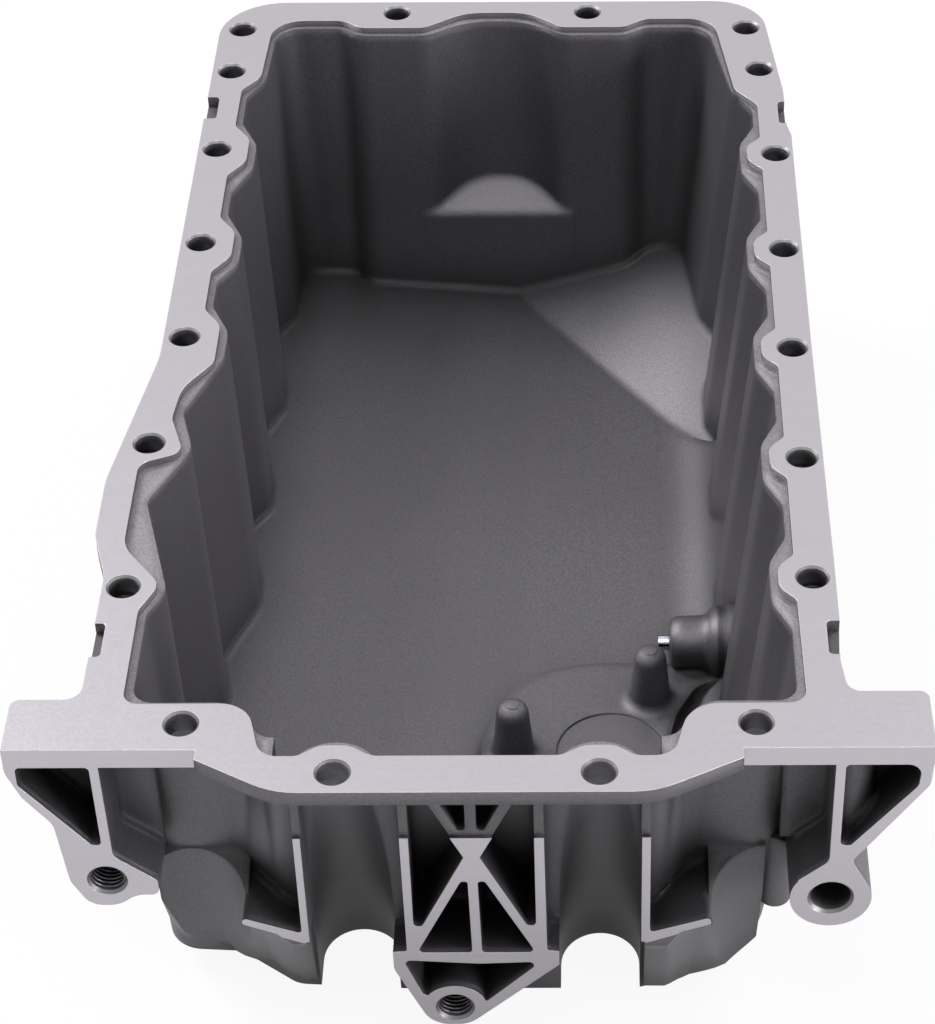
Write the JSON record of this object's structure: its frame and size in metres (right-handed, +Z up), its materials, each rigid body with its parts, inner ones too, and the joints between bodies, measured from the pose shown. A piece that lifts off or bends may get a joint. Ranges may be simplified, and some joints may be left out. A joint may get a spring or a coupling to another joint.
{
  "type": "engine oil pan",
  "caption": "Deep ribbed aluminium engine oil pan with a bolting flange, a gearbox face with threaded ears, and a drain plug near the bottom.",
  "frame": {"origin": "centre of the bounding box's bottom, below the sump", "axes": "+Z up, out of the open top; -Y towards the gearbox face; +X towards the drain plug's side"},
  "size_m": [0.2636, 0.4243, 0.1263],
  "materials": {
    "cast_aluminium": "sand-cast, matt, with machined faces",
    "plug_steel": "zinc-plated",
    "washer_aluminium": "satin"
  },
  "bodies": {
    "root": {"pan_casting": "cast_aluminium", "drain_plug": "plug_steel", "drain_plug_washer": "washer_aluminium"}
  },
  "joints": []
}
